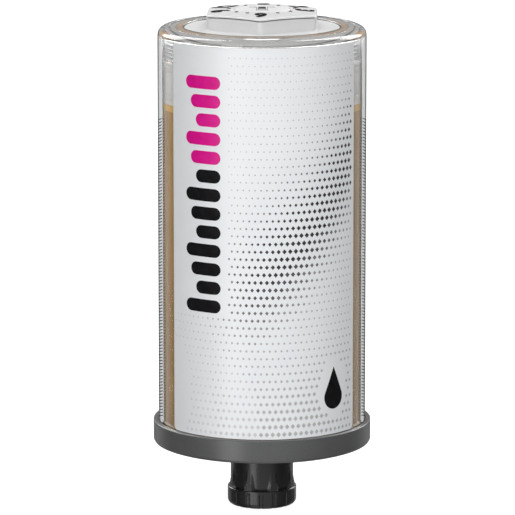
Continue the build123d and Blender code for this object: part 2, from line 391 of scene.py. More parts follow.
painted_edge_shade = clear.node("ShaderNodeBsdfDiffuse")
painted_edge_shade.inputs[0].default_value = (0.10, 0.10, 0.10, 1)
painted_edge_shade_mix = clear.node("ShaderNodeMixShader")
clear.link(edge.outputs[0], painted_edge_shade_mix.inputs[0])
clear.link(mx.outputs[0], painted_edge_shade_mix.inputs[1])
clear.link(painted_edge_shade.outputs[0], painted_edge_shade_mix.inputs[2])
clear.link(painted_edge_shade_mix.outputs[0], clear.out.inputs["Surface"])
M_CLEAR = clear.m

M_GREY = moulded("grey_plastic", (0.074, 0.075, 0.076), (0.090, 0.091, 0.092), (0.27, 0.34), 0.006, 0.5)
M_BLACK = moulded("black_plastic", (0.008, 0.008, 0.0085), (0.014, 0.014, 0.0145), (0.22, 0.30), 0.004, 0.5)
M_WHITE = moulded("white_plastic", (0.53, 0.53, 0.53), (0.58, 0.58, 0.58), (0.34, 0.44), 0.006, 0.5)
# the black rubber also serves as painted shade: thin dark rings on the drive head and round the seal's top
M_RUBBER_AND_PAINTED_SHADE = moulded("seal_rubber", (0.018, 0.018, 0.018), (0.028, 0.028, 0.028), (0.55, 0.7), 0.01, 0.4)
M_SILICONE = moulded("seal_silicone", (0.56, 0.54, 0.51), (0.64, 0.62, 0.59), (0.4, 0.55), 0.01, 0.4)
M_GASKET = moulded("gasket", (0.235, 0.145, 0.07), (0.29, 0.18, 0.09), (0.6, 0.75), 0.01, 0.1)
# painted shade: a grey copy of the white plastic for the head's land, which lies in shade under the clear plate
M_PAINTED_SHADE_LAND = moulded("painted_shade_land", (0.20, 0.198, 0.195), (0.25, 0.248, 0.245), (0.5, 0.6), 0.006, 0.2)
# painted shade: a grey copy of the gasket for its side faces
M_GASKET_SIDE_PAINTED_SHADE = moulded("gasket_side_painted_shade", (0.20, 0.195, 0.19), (0.25, 0.245, 0.24), (0.6, 0.75), 0.01, 0.1)

# film of the labels: smooth satin paper-film, faint tone
film = Mat("label_film", (0.80, 0.805, 0.81), 0.38, spec=0.5)
f1 = film.noise(35, 3)
f2 = film.noise(2400, 2)
film.color(film.ramp(f1, [(0.3, (0.765, 0.782, 0.800)), (0.7, (0.80, 0.815, 0.83))]))
film.rough(film.remap(f2, 0.3, 0.7, 0.32, 0.42))
film.bump((f1, 0.03, 0.12), (f2, 0.004, 0.3))
M_FILM = film.m
# painted light: the rear label's film is a brighter copy of the front film, standing in for light that reaches its
# strips beside the sight windows
film = Mat("rear_film", (0.88, 0.89, 0.90), 0.4, spec=0.3)
f1 = film.noise(35, 3)
f2 = film.noise(2400, 2)
film.color(film.ramp(f1, [(0.3, (0.86, 0.87, 0.88)), (0.7, (0.90, 0.91, 0.915))]))
film.rough(film.remap(f2, 0.3, 0.7, 0.36, 0.46))
film.bump((f1, 0.03, 0.12), (f2, 0.004, 0.3))
# painted shade: the label turns dark where it curves out of sight, mixed with a dark diffuse by facing angle
lw = film.node("ShaderNodeLayerWeight")
lw.inputs[0].default_value = 0.5
edge = film.node("ShaderNodeMapRange", interpolation_type="SMOOTHSTEP")
for k, v in zip(("From Min", "From Max", "To Min", "To Max"), (0.81, 0.885, 0.0, 0.85)):
    edge.inputs[k].default_value = v
film.link(lw.outputs["Facing"], edge.inputs["Value"])
painted_edge_shade = film.node("ShaderNodeBsdfDiffuse")
painted_edge_shade.inputs[0].default_value = (0.10, 0.10, 0.10, 1)
painted_edge_shade_mix = film.node("ShaderNodeMixShader")
film.link(edge.outputs[0], painted_edge_shade_mix.inputs[0])
film.link(film.p.outputs[0], painted_edge_shade_mix.inputs[1])
film.link(painted_edge_shade.outputs[0], painted_edge_shade_mix.inputs[2])
film.link(painted_edge_shade_mix.outputs[0], film.out.inputs["Surface"])
M_FILM_REAR_PAINTED_LIGHT = film.m


def ink(name, dark, light, rough=(0.3, 0.4)):
    m = Mat(name, light, 0.35, spec=0.5)
    n = m.noise(500, 3)
    m.color(m.ramp(n, [(0.3, dark), (0.7, light)]))
    m.rough(m.remap(n, 0.3, 0.7, *rough))
    m.bump((m.noise(2400, 2), 0.004, 0.3))
    return m.m


M_INK = ink("ink_black", (0.005, 0.005, 0.006), (0.010, 0.010, 0.011))
M_INK.node_tree.nodes["Principled BSDF"].inputs["Specular IOR Level"].default_value = 0.08
# painted shade: a dark grey laid on groove and gap faces where shade falls
M_PAINTED_SHADE_GAP = moulded("painted_shadow_gap", (0.05, 0.05, 0.05), (0.07, 0.07, 0.07), (0.7, 0.85), 0.004, 0.1)
M_MARK = ink("ink_dial", (0.004, 0.004, 0.004), (0.009, 0.009, 0.009), (0.75, 0.9))
M_MARK.node_tree.nodes["Principled BSDF"].inputs["Specular IOR Level"].default_value = 0.05
M_MAGENTA = ink("ink_magenta", (0.62, 0.001, 0.215), (0.70, 0.003, 0.26))
M_INK_G = [
    ink("ink_grey_%d" % i, (g * 0.92, g * 0.92, g * 0.93), (g * 1.06, g * 1.06, g * 1.07))
    for i, g in enumerate((0.03, 0.075, 0.16, 0.30, 0.45, 0.58, 0.67))
]

# grease
gr = Mat("grease", (0.44, 0.26, 0.10), 0.5, spec=0.08)
n1 = gr.noise(55, 4, vec=gr.mapping((1, 1, 0.25)), distortion=0.6)
n2 = gr.noise(260, 4)
tone = gr.math("MULTIPLY_ADD", n2, 0.3, gr.math("MULTIPLY", n1, 0.7))
gr.color(gr.ramp(tone, [(0.3, (0.34, 0.20, 0.066)), (0.55, (0.39, 0.23, 0.077)), (0.75, (0.43, 0.255, 0.09))]))
gr.rough(gr.remap(n2, 0.3, 0.7, 0.45, 0.65))
gr.bump((n1, 0.08, 0.35), (n2, 0.02, 0.35))
M_GREASE = gr.m
# painted light: the top 1.5 mm of the grease column is a lighter, yellower copy of the grease
go = Mat("grease_top_painted_light", (0.62, 0.41, 0.13), 0.6, spec=0.08)
n1 = go.noise(90, 3)
go.color(go.ramp(n1, [(0.3, (0.60, 0.37, 0.10)), (0.7, (0.66, 0.42, 0.125))]))
go.rough(go.remap(n1, 0.3, 0.7, 0.5, 0.7))
go.bump((n1, 0.03, 0.3))
M_GREASE_TOP_PAINTED_LIGHT = go.m

# translucent piston
ps = Mat("piston_plastic", (0.62, 0.60, 0.575), 0.35, spec=0.5)
n1 = ps.noise(70, 3)
n2 = ps.noise(1400, 2)
ps.color(ps.ramp(n1, [(0.3, (0.58, 0.56, 0.535)), (0.7, (0.66, 0.645, 0.62))]))
ps.rough(ps.remap(n1, 0.3, 0.7, 0.3, 0.42))
ps.set("Subsurface Weight", 0.35)
ps.set("Subsurface Radius", (0.9, 0.8, 0.7))
ps.set("Subsurface Scale", 0.0015)
ps.bump((n1, 0.05, 0.2), (n2, 0.008, 0.3))
M_PISTON = ps.m


def metal(name, color, rough, brush=(1, 1, 1), scale=900):
    m = Mat(name, color, rough, metal=1.0)
    n = m.noise(scale, 3, vec=m.mapping(brush))
    w = m.noise(120, 3)
    d = tuple(c * 0.86 for c in color)
    m.color(m.ramp(n, [(0.3, d), (0.7, color)]))
    m.rough(m.remap(w, 0.3, 0.7, rough * 0.8, rough * 1.3))
    m.bump((n, 0.004, 0.4))
    return m.m


M_STEEL = metal("spring_steel", (0.56, 0.56, 0.57), 0.28, (1, 0.1, 1))
M_CELL = metal("cell_steel", (0.66, 0.66, 0.67), 0.22, (0.15, 1, 1))
M_BRASS = metal("contact_brass", (0.78, 0.60, 0.30), 0.25, (1, 0.2, 1))
M_BOARD = moulded("board_mask", (0.012, 0.10, 0.045), (0.02, 0.15, 0.065), (0.25, 0.35), 0.004)
M_COMP = moulded("components", (0.025, 0.025, 0.027), (0.05, 0.05, 0.053), (0.45, 0.6), 0.006)
M_CARRIER = moulded("carrier_plastic", (0.36, 0.36, 0.36), (0.45, 0.45, 0.45), (0.4, 0.55), 0.008)
M_LINER = moulded("liner_foam", (0.66, 0.65, 0.62), (0.76, 0.75, 0.72), (0.6, 0.8), 0.02)
mb = Mat("membrane_felt", (0.8, 0.8, 0.79), 0.9, spec=0.3)
n1 = mb.noise(1800, 5, 0.7)
n2 = mb.noise(2600, 3, vec=mb.mapping((1, 0.2, 1)))
mb.color(mb.ramp(n1, [(0.3, (0.72, 0.72, 0.70)), (0.7, (0.86, 0.86, 0.85))]))
mb.rough(mb.remap(n2, 0.3, 0.7, 0.8, 0.95))
mb.bump((n1, 0.03, 0.6), (n2, 0.02, 0.5))
M_MEMBRANE = mb.m

for node, m in {
    "base_seal": M_RUBBER_AND_PAINTED_SHADE,
    "dial_seal": M_RUBBER_AND_PAINTED_SHADE,
    "cap_liner": M_LINER,
    "dial_clip": M_STEEL,
    "dial_wiper": M_BRASS,
    "circuit_board": M_BOARD,
    "board_parts": M_COMP,
    "cell_carrier": M_CARRIER,
    "gas_cell_left": M_CELL,
    "gas_cell_right": M_CELL,
    "cell_contact_top": M_STEEL,
    "cell_contact_bottom": M_STEEL,
    "generator_cover": M_WHITE,
    "gas_membrane": M_MEMBRANE,
    "head_seal": M_GASKET,
}.items():
    assign(nodes[node], m)

# =====================================================================================
# Cartridge housing
# =====================================================================================
RIM_IN, RIM_DROP = 2.6, 1.9
PLATE_LOW = 118.9
rim = []
for i in range(13):
    t = pi / 2 * i / 12
    rim.append((BODY_R - RIM_IN + RIM_IN * cos(t), RIM_TOP - RIM_DROP + RIM_DROP * sin(t)))
prof = rounded(
    [
        (BORE_R, TUBE_LOW, 0.1),
        (BODY_R, TUBE_LOW, 0.1),
        *rim,
        (22.98, RIM_TOP, 0.04),
        (22.88, RIM_TOP - 0.13),
        (22.8, RIM_TOP - 0.13),
        (22.7, RIM_TOP - 0.02, 0.04),
        (22.55, RIM_TOP),
        (19.45, RIM_TOP, 0.25),
        (19.45, PLATE_LOW, 0.1),
        (24.35, PLATE_LOW, 0.3),
        (24.35, 113.8, 0.1),
        (BORE_R, 113.4, 0.1),
    ],
    steps=6,
)
housing = place(assign(lathe("cartridge_shell", prof, 256, 30), M_CLEAR), "cartridge", "clear_plastic", "housing")

# =====================================================================================
# Grey base, with the outlet nipple
# =====================================================================================
prof = rounded(
    [
        (3.4, 4.2, 0.3),
        (5.9, 4.2, 0.15),
        (6.45, 4.85, 0.1),
        (6.45, 15.2, 0.1),
        (6.58, 15.4, 0.1),
        (6.58, BASE_LOW, 0.25),
        (BASE_R - 0.85, BASE_LOW, 0.05),
        (BASE_R - 0.3, BASE_LOW + 0.2, 0.2),
        (BASE_R, BASE_LOW + 0.7, 0.3),
        (BASE_R, BASE_TOP - 0.14, 0.08),
        (BASE_R - 0.14, BASE_TOP, 0.08),
        (BODY_R + 0.16, BASE_TOP, 0.12),
        (BODY_R + 0.16, 18.3),
        (24.4, 18.3),
        (24.4, 19.1),
        (23.25, 19.1),
        (23.25, 20.6),
        (24.4, 20.6),
        (24.4, 21.4, 0.2),
        (22.2, 21.4, 0.2),
        (22.2, 19.6, 0.4),
        (3.4, 18.2, 0.4),
    ],
    steps=5,
)
base = lathe("base_plate", prof, 256, 40)
place(assign(base, M_GREY), "cartridge", "grey_plastic", "base")

# thread on the nipple: one helical ridge, R 1/4 pitch, running out at both ends
pitch = 1.337
turns = 6.6
steps_t = int(turns * 72)
rows = []
for i in range(steps_t + 1):
    t = i / 72
    z = 5.4 + t * pitch
    fade = min(1.0, t / 0.5, (turns - t) / 0.5)
    a = TAU * t
    hgt = 0.12 * max(fade, 0.02)
    rr = 6.44
    half = 0.52 * (0.35 + 0.65 * fade)
    sect = [(rr - 0.1, -half), (rr + hgt * 0.85, -half * 0.28), (rr + hgt, 0), (rr + hgt * 0.85, half * 0.28), (rr - 0.1, half)]
    rows.append([(r * cos(a), r * sin(a), z + dz) for r, dz in sect])
verts = [p for row in rows for p in row]
faces = []
for i in range(len(rows) - 1):
    for j in range(5):
        k = (j + 1) % 5
        faces.append((i * 5 + j, i * 5 + k, (i + 1) * 5 + k, (i + 1) * 5 + j))
faces += [tuple(range(5)), tuple(range((len(rows) - 1) * 5, len(rows) * 5))]
thread = new_object("nipple_thread", verts, faces, 60)
place(assign(thread, M_GREY), "cartridge", "grey_plastic")

# =====================================================================================
# Screw cap
# =====================================================================================
CAP_TURN = -1.5
CR, FR, FH = 7.85, 8.62, 4.6


def sm(x):
    x = max(0.0, min(1.0, x))
    return x * x * (3 - 2 * x)


outer = [
    # (r, z, zone) zone f: flange with flutes, b: barrel with gussets
    (4.75, 0.42, "n"), (4.9, 0.12, "n"), (5.05, 0.02, "n"), (5.3, 0.0, "n"), (7.3, 0.0, "f"), (7.62, 0.03, "f"), (7.92, 0.12, "f"),
    (8.2, 0.3, "f"), (8.42, 0.56, "f"), (8.55, 0.86, "f"), (8.61, 1.2, "f"), (FR, 1.6, "f"), (FR, 3.4, "f"),
    (FR, 3.66, "f"), (FR, 3.8, "f"), (FR, 3.9, "f"), (FR, 4.2, "f"), (FR - 0.02, 4.42, "f"), (FR - 0.06, 4.52, "f"), (FR - 0.13, 4.58, "f"),
    (FR - 0.21, FH, "l"), (CR + 0.28, FH, "l"), (CR + 0.16, FH - 0.06, "g"), (CR + 0.08, FH - 0.24, "g"), (CR - 0.02, FH - 0.3, "g"),
    (CR - 0.1, FH - 0.2, "g"), (CR - 0.11, FH + 0.1, "b"), (CR - 0.06, FH + 0.34, "b"), (CR, FH + 0.55, "b"),
]
for i in range(1, 15):
    outer.append((CR, FH + 0.55 + i * 0.4, "b"))
outer += [(CR, 11.2, "b"), (CR, 13.0, "b"), (CR, CAP_TOP - 0.35, "b"), (CR - 0.04, CAP_TOP - 0.18, "n"), (CR - 0.14, CAP_TOP - 0.05, "n"), (CR - 0.3, CAP_TOP, "n"),
          (6.9, CAP_TOP, "n"), (6.72, CAP_TOP - 0.06, "n"), (6.66, CAP_TOP - 0.2, "n"), (6.66, 2.62, "n"), (6.56, 2.5, "n"), (3.0, 2.5, "n")]
FL = [0, 1.3, 2.4, 3.1, 3.55, 4.2, 6.5, 9.0, 11.25]


def flange_cols():
    cols = []
    for k in range(16):
        c = k * 22.5
        for s in FL[:-1]:
            cols.append(c + s)
        for s in reversed(FL[1:]):
            cols.append(c + 22.5 - s if s != 11.25 else c + 11.25)
    # FL holds 9 offsets: 8 before the middle, the middle, 7 after it
    return cols


def cols_for(z, zone):
    """Column azimuths for one row, all rows the same count: 16 per 22.5 degrees."""
    out = []
    if zone in ("f", "n"):
        for k in range(16):
            c = k * 22.5
            seq = [0, 1.3, 2.4, 3.1, 3.55, 4.2, 6.5, 9.0, 11.25, 13.5, 16.0, 18.3, 18.95, 19.4, 20.1, 21.2]
            out += [c + s for s in seq]
        return out
    # barrel: k even is a panel centre, k odd a gusset centre
    w = half_angle(z)
    for k in range(16):
        c = k * 22.5
        if k % 2 == 0:  # panel centre to gusset centre
            left = 22.5 - w
            seq = [0, 0.2 * left, 0.4 * left, 0.58 * left, 0.74 * left, 0.86 * left, left - 0.9, left - 0.35, left, left + 0.5, left + 0.12 * w + 0.5,
                   left + 0.3 * w, left + 0.48 * w, left + 0.64 * w, left + 0.78 * w, left + 0.9 * w]
            seq = sorted(seq)
        else:
            left = w
            seq = [0, 0.1 * w, 0.22 * w, 0.36 * w, 0.52 * w, 0.7 * w, w - 0.12 * w - 0.5, w - 0.5, w, w + 0.35, w + 0.9]
            rest = 22.5 - w
            seq += [w + f * rest for f in (0.14, 0.26, 0.42, 0.6, 0.8)]
            seq = sorted(seq)
        out += [c + s for s in seq]
    return out


def rise(z):
    return max(0.0, min(1.0, (z - FH) / 5.3))


def half_angle(z):
    """Half the width of a rib's foot, its hollow flanks included."""
    return deg((1.72 - 0.95 * rise(z)) / 8.1)


def gusset_r(z):
    return CR + 0.6 * (1 - rise(z)) ** 1.35


rows = []
for r, z, zone in outer:
    ths = cols_for(z, zone)
    row = []
    for th in ths:
        rr, zz = r, z
        if zone == "f":
            d = abs((th + 11.25) % 22.5 - 11.25)
            depth = 0.24 * sm((3.75 - d) / 1.6) * sm((3.98 - z) / 0.3) * sm((z + 0.25) / 0.4)
            rr -= depth * (1.0 if z > 0.5 else 0.8)
            # each facet between two flutes is a little flatter than the circle
            e = 1 - (d / 11.25)
            rr -= 0.05 * (d / 11.25) ** 2 * sm((4.4 - z) / 0.5) * (1 if z > 0.2 else 0.3)
        elif zone in ("b", "g", "l"):
            off = abs(th % 45 - 22.5)  # from the nearest rib's centre
            w = half_angle(z)
            crest = gusset_r(z) if z >= FH else CR + 0.6
            flat = 0.52 * w
            if off <= flat:
                k = 1.0
            elif off <= w:
                u = (off - flat) / (w - flat)
                k = (1 - u) ** 1.15
            else:
                k = 0.0
            face = crest / cos(rad(min(off, flat))) - 0.012
            if zone == "b":
                rr = max(r, r + (face - r) * k) if face > r else r
            elif off < w:
                rr = max(r, r + (face - r) * k)
                zz = z + (FH + 0.02 - z) * sm(k * 3)
        a = rad(th - 90 + CAP_TURN)
        row.append((rr * cos(a), rr * sin(a), zz))
    rows.append(row)
cap = loft("screw_cap", rows, sharp=34, pole_start=(0, 0, 0.5), pole_end=(0, 0, 2.5))
place(assign(cap, M_BLACK), "cap", "black_plastic", "closure_cap")

# female thread inside the cap
rows = []
turns = 6.8
for i in range(int(turns * 64) + 1):
    t = i / 64
    z = 5.9 + t * pitch
    fade = min(1.0, t / 0.5, (turns - t) / 0.5)
    a = TAU * t
    hgt = 0.05 * max(fade, 0.02)
    half = 0.3
    sect = [(6.76, -half), (6.66 - hgt, -0.1), (6.66 - hgt, 0.1), (6.76, half)]
    rows.append([(r * cos(a), r * sin(a), z + dz) for r, dz in sect])
verts = [p for row in rows for p in row]
faces = []
for i in range(len(rows) - 1):
    for j in range(4):
        k = (j + 1) % 4
        faces.append((i * 4 + j, i * 4 + k, (i + 1) * 4 + k, (i + 1) * 4 + j))
faces += [tuple(range(4)), tuple(range((len(rows) - 1) * 4, len(rows) * 4))]
cap_thread = new_object("cap_thread", verts, faces, 60)
place(assign(cap_thread, M_BLACK), "cap", "black_plastic")

# =====================================================================================
# Drive head: hexagon under a dome, boss, threaded skirt and generator can
# =====================================================================================
HEX_A, HEX_TURN = 13.5, -1.5
CORNER = 1.7


def hex_r(th_deg, inset=0.0):
    """Outline of the rounded hexagon: th from -Y towards +X, corner at HEX_TURN."""
    a = HEX_A - inset
    rc = max(CORNER - inset, 0.25)
    u = rad((th_deg - HEX_TURN) % 60 - 30)  # from the middle of a side
    straight = (a - rc) * math.tan(rad(30)) if rc > 0 else a * math.tan(rad(30))
    # flat part up to where the corner arc starts
    if abs(math.tan(u) * a) <= straight:
        return a / cos(u)
    # arc centred on the corner direction
    cdist = (a - rc) / cos(rad(30))
    v = rad(30) - abs(u)  # from the corner direction
    return cdist * cos(v) + math.sqrt(max(rc * rc - (cdist * sin(v)) ** 2, 0))


def dome_z(r):
    return DOME_TOP - (DOME_R - math.sqrt(DOME_R**2 - r * r))


DOME_R, DOME_TOP = 150.0, 125.3
BOSS_Z, BOSS_R = 120.75, 19.2
REC_R, REC_Z = 7.15, 123.55
HN = []
for k in range(6):
    base_a = HEX_TURN + 60 * k
    for s in (0, 0.7, 1.4, 2.1, 2.8, 3.4, 3.9, 4.6, 6, 9, 12, 15, 18, 21, 24, 27, 30, 33, 36, 39, 42, 45, 48, 51, 54, 55.4, 56.1, 56.6, 57.2, 57.9, 58.6, 59.3):
        HN.append(base_a + s)


def ring(fr, fz):
    row = []
    for th in HN:
        r = fr(th)
        z = fz(r) if callable(fz) else fz
        a = rad(th - 90)
        row.append((r * cos(a), r * sin(a), z))
    return row




def in_painted_shade_groove(c, r):
    """True for the floor and walls of the fine groove under the face's edge."""
    th = deg(math.atan2(c.x, -c.y))
    return r < hex_r(th) - 0.12 and c.z < dome_z(min(r, 15.6)) - EDGE


rows = []
rows.append(ring(lambda t: 3.08, REC_Z))
rows.append(ring(lambda t: REC_R - 0.2, REC_Z))
rows.append(ring(lambda t: REC_R - 0.05, REC_Z + 0.05))
rows.append(ring(lambda t: REC_R, REC_Z + 0.2))
rows.append(ring(lambda t: REC_R, dome_z(REC_R) - 0.14))
rows.append(ring(lambda t: REC_R + 0.03, dome_z(REC_R) - 0.05))
rows.append(ring(lambda t: REC_R + 0.12, dome_z(REC_R)))
EDGE = 0.42
for f in (0.12, 0.25, 0.4, 0.55, 0.7, 0.85, 0.95, 1.0):
    def fr(t, f=f):
        o = hex_r(t, EDGE)
        return REC_R + 0.12 + (o - REC_R - 0.12) * f
    rows.append(ring(fr, dome_z))
for s in range(1, 7):
    a = rad(90 * s / 6)
    ins = EDGE * (1 - sin(a))
    drop = EDGE * (1 - cos(a))
    rows.append(ring(lambda t, ins=ins: hex_r(t, ins), lambda r, drop=drop: dome_z(r) - drop))
# a fine shadow line parts the dial face from the hexagon's sides
for ins, dz in ((0.0, 0.0), (0.03, -0.03), (0.5, -0.06), (0.5, -0.26), (0.03, -0.29), (0.0, -0.33), (0.0, -0.5)):
    rows.append(ring(lambda t, ins=ins: hex_r(t, ins), lambda r, dz=dz: dome_z(min(r, 15.6)) - EDGE + dz))
rows.append(ring(lambda t: hex_r(t), 123.0))
rows.append(ring(lambda t: hex_r(t), 122.0))
rows.append(ring(lambda t: hex_r(t), BOSS_Z + 0.32))
for s in range(1, 5):
    a = rad(90 * s / 4)
    rows.append(ring(lambda t, a=a: hex_r(t) + 0.32 * (1 - cos(a)), BOSS_Z + 0.32 * (1 - sin(a))))
for f in (0.3, 0.65, 0.92):
    rows.append(ring(lambda t, f=f: hex_r(t) + 0.32 + (BOSS_R - 0.3 - hex_r(t) - 0.32) * f, BOSS_Z))
prof = [(BOSS_R - 0.3, BOSS_Z), (BOSS_R - 0.12, BOSS_Z - 0.04), (BOSS_R, BOSS_Z - 0.2), (BOSS_R, 117.3), (BOSS_R + 0.06, 117.2), (21.33, 117.2), (21.38, 117.3), (21.38, 118.86), (21.44, 118.92), (22.84, 118.92), (23.04, 118.92), (23.4, 118.92), (23.7, 118.8), (23.78, 118.4)]
for i in range(5):
    z = 118.0 - i * 0.95
    prof += [(23.8, z - 0.1), (24.12, z - 0.36), (24.23, z - 0.46), (24.12, z - 0.56), (23.8, z - 0.82)]
prof += [(23.75, 113.7), (23.6, 113.6), (22.85, 113.6), (22.7, 113.75), (22.7, 116.1), (20.8, 116.1), (20.7, 113.7), (19.5, 113.25), (19.4, 113.0), (19.4, 106.7), (19.2, 106.5),
         (17.5, 106.5), (17.4, 106.6), (17.4, 118.1), (11.8, 118.2), (11.8, 121.8), (3.08, 121.8)]
for r, z in prof:
    rows.append(ring(lambda t, r=r: r, z))
head = loft("drive_head", rows, loop=True, sharp=36)
# painted shade on the drive head: the groove under the hexagon's top edge and a band round the boss wall take the dark
# gap grey, a thin ring at r 22.9 black rubber, and the land under the clear plate a grey copy of the white plastic
for poly in head.data.polygons:
    c = poly.center * 1000
    r = math.hypot(c.x, c.y)
    if 13.0 < r < 15.7 and c.z > 123.2 and abs(poly.normal.z) < 0.95 and in_painted_shade_groove(c, r):
        poly.material_index = 1
    elif 22.86 < r < 23.02 and 118.9 < c.z < 119.2:
        poly.material_index = 3
    elif 21.37 < r < 23.75 and 118.5 < c.z < 119.2:
        poly.material_index = 2
    elif abs(r - BOSS_R) < 0.04 and 118.0 < c.z < 120.5:
        poly.material_index = 1
place(assign(head, M_WHITE, M_PAINTED_SHADE_GAP, M_PAINTED_SHADE_LAND, M_RUBBER_AND_PAINTED_SHADE), "cartridge", "white_plastic", "head_body")

# the seal, pressed flat under the clear plate
prof = rounded(
    [
        (19.5, 117.24, 0.25), (21.34, 117.24, 0.25), (21.34, PLATE_LOW + 0.02, 0.04), (21.13, PLATE_LOW + 0.02), (20.47, PLATE_LOW + 0.02), (20.39, PLATE_LOW + 0.02),
        (19.72, PLATE_LOW + 0.02), (19.5, PLATE_LOW + 0.02, 0.04),
    ],
    steps=3,
)
seal = lathe("seal_ring", prof, 256, 40)
# painted shade on the seal: its side faces take the grey copy of the gasket, and thin rims of its top face black rubber
for poly in seal.data.polygons:
    c = poly.center * 1000
    r = math.hypot(c.x, c.y)
    if abs(poly.normal.z) < 0.5 and c.z < PLATE_LOW - 0.05:
        poly.material_index = 1
    elif c.z > PLATE_LOW - 0.05 and (r > 21.13 or r < 19.72):
        poly.material_index = 2
place(assign(seal, M_GASKET, M_GASKET_SIDE_PAINTED_SHADE, M_RUBBER_AND_PAINTED_SHADE), "cartridge", "gasket_rubber", "head_seal")

# =====================================================================================
# Grease, piston
# =====================================================================================
gt, gb = g_hi[2], g_lo[2]
GR = 24.56
prof_g = [
    (3.4, 18.25), (22.15, 19.65), (22.15, 21.45), (GR - 0.1, 21.45), (GR, 21.55), (GR, gt - 1.55), (GR, gt - 0.1), (GR - 0.1, gt), (22.0, gt), (22.0, 101.09), (3.4, 99.69),
]
seg = 192
rows = [[(r * cos(TAU * j / seg), r * sin(TAU * j / seg), z) for j in range(seg)] for r, z in prof_g]
grease = loft("grease_column", rows, sharp=50, pole_start=(0, 0, 18.25), pole_end=(0, 0, 99.69))
assign(grease, M_GREASE, M_GREASE_TOP_PAINTED_LIGHT)
# the top 1.5 mm of the column takes the lighter copy: painted light
for poly in grease.data.polygons:
    c = poly.center * 1000
    if c.z > gt - 1.54:
        poly.material_index = 1
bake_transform(grease)
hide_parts("grease_fill")

prof = rounded(
    [
        (0, 99.75), (3.4, 99.75), (21.95, 101.15, 0.3), (21.95, 102.8, 0.3), (24.5, 102.8, 0.1), (24.5, 103.66, 0.04), (23.1, 103.66), (23.1, 105.24), (24.5, 105.24, 0.04),
        (24.5, 110.66, 0.04), (23.1, 110.66), (23.1, 112.24), (24.5, 112.24, 0.04), (24.5, 113.2, 0.2), (22.1, 113.2, 0.3), (21.7, 105.4, 1.0), (20.2, 104.0, 1.0), (3.4, 102.3), (0, 102.3),
    ],
    steps=4,
)
# the seals fill their grooves
for ring_name, gz, old in (("piston_ring_low", 103.66, "piston_seal_lower"), ("piston_ring_high", 110.66, "piston_seal_upper")):
    ring_prof = rounded([(23.13, gz + 0.03, 0.1), (24.55, gz + 0.03, 0.1), (24.55, gz + 1.55, 0.1), (23.13, gz + 1.55, 0.1)], steps=3)
    place(assign(lathe(ring_name, ring_prof, 192, 40), M_SILICONE), "plunger", "seal_silicone", old)
piston = lathe("piston_cup", prof, 192, 40)
place(assign(piston, M_PISTON), "plunger", "piston_plastic", "piston")
# stiffening webs in the cup
parts = []
for k in range(8):
    a = TAU * k / 8
    ca, sa = cos(a), sin(a)
    pts = []
    prof_w = [(4.5, 102.2), (18.5, 103.3), (18.5, 104.2), (17.9, 104.5), (5.1, 104.5), (4.5, 104.1)]
    for side in (-0.5, 0.5):
        for r, z in prof_w:
            pts.append((r * ca - side * sa, r * sa + side * ca, z))
    n = len(prof_w)
    fs = [tuple(range(n))[::-1], tuple(range(n, 2 * n))]
    fs += [(i, (i + 1) % n, n + (i + 1) % n, n + i) for i in range(n)]
    parts.append((pts, fs, 0))
webs = joined("piston_webs", parts, 30)
bm = bmesh.new()
bm.from_mesh(webs.data)
bmesh.ops.recalc_face_normals(bm, faces=bm.faces)
bm.to_mesh(webs.data)
bm.free()
place(assign(webs, M_PISTON), "plunger", "piston_plastic")

# =====================================================================================
# Labels
# =====================================================================================


def polar(az, r, z):
    """az in degrees from -Y towards +X."""
    a = rad(az - 90)
    return (r * cos(a), r * sin(a), z)


def film_sheet(name, a0, a1, low, high, r0, r1, rc=1.2):
    """A closed thin shell on the cartridge with rounded corners."""
    n = 120
    rows = []
    zs = 24

    def cut(az):
        """How far the corners take the ends in."""
        d = min(rad(az - a0), rad(a1 - az)) * r1
        if d >= rc:
            return 0.0
        return rc - math.sqrt(max(rc * rc - (rc - d) ** 2, 0))

    azs = []
    for i in range(n + 1):
        azs.append(a0 + (a1 - a0) * i / n)
    extra = [a0 + deg(rc / r1) * t for t in (0.03, 0.1, 0.2, 0.35, 0.5, 0.7, 0.9)] + [a1 - deg(rc / r1) * t for t in (0.03, 0.1, 0.2, 0.35, 0.5, 0.7, 0.9)]
    azs = sorted(azs + extra)
    outer, inner = [], []
    for az in azs:
        c = cut(az)
        lo, hi = low + c, high - c
        outer.append([polar(az, r1, lo + (hi - lo) * j / zs) for j in range(zs + 1)])
        inner.append([polar(az, r0, lo + (hi - lo) * j / zs) for j in range(zs + 1)])
    m = zs + 1
    verts = [p for col in outer for p in col] + [p for col in inner for p in col]
    off = len(azs) * m
    faces = []
    for i in range(len(azs) - 1):
        for j in range(zs):
            a, b = i * m + j, (i + 1) * m + j
            faces.append((a, b, b + 1, a + 1))
            faces.append((off + a, off + a + 1, off + b + 1, off + b))
        a, b = i * m, (i + 1) * m
        faces.append((a, off + a, off + b, b))
        a, b = i * m + zs, (i + 1) * m + zs
        faces.append((a, b, off + b, off + a))
    for i in (0, len(azs) - 1):
        for j in range(zs):
            a = i * m + j
            faces.append((a, a + 1, off + a + 1, off + a) if i == 0 else (a, off + a, off + a + 1, a + 1))
    return new_object(name, verts, faces, 40)


F0, F1 = -57.0, 60.3
B0, B1 = 72.7, 288.0
front = film_sheet("front_label_film", F0, F1, LABEL_LOW, LABEL_HIGH, BODY_R + 0.01, BODY_R + 0.065)
place(assign(front, M_FILM), "cartridge", "front_print", "front_label")
rear = film_sheet("rear_label_film", B0, B1, LABEL_LOW, LABEL_HIGH, BODY_R - 0.008, BODY_R + 0.065)
place(assign(rear, M_FILM_REAR_PAINTED_LIGHT), "cartridge", "rear_print", "rear_label")

INK0, INK1 = BODY_R + 0.055, BODY_R + 0.085


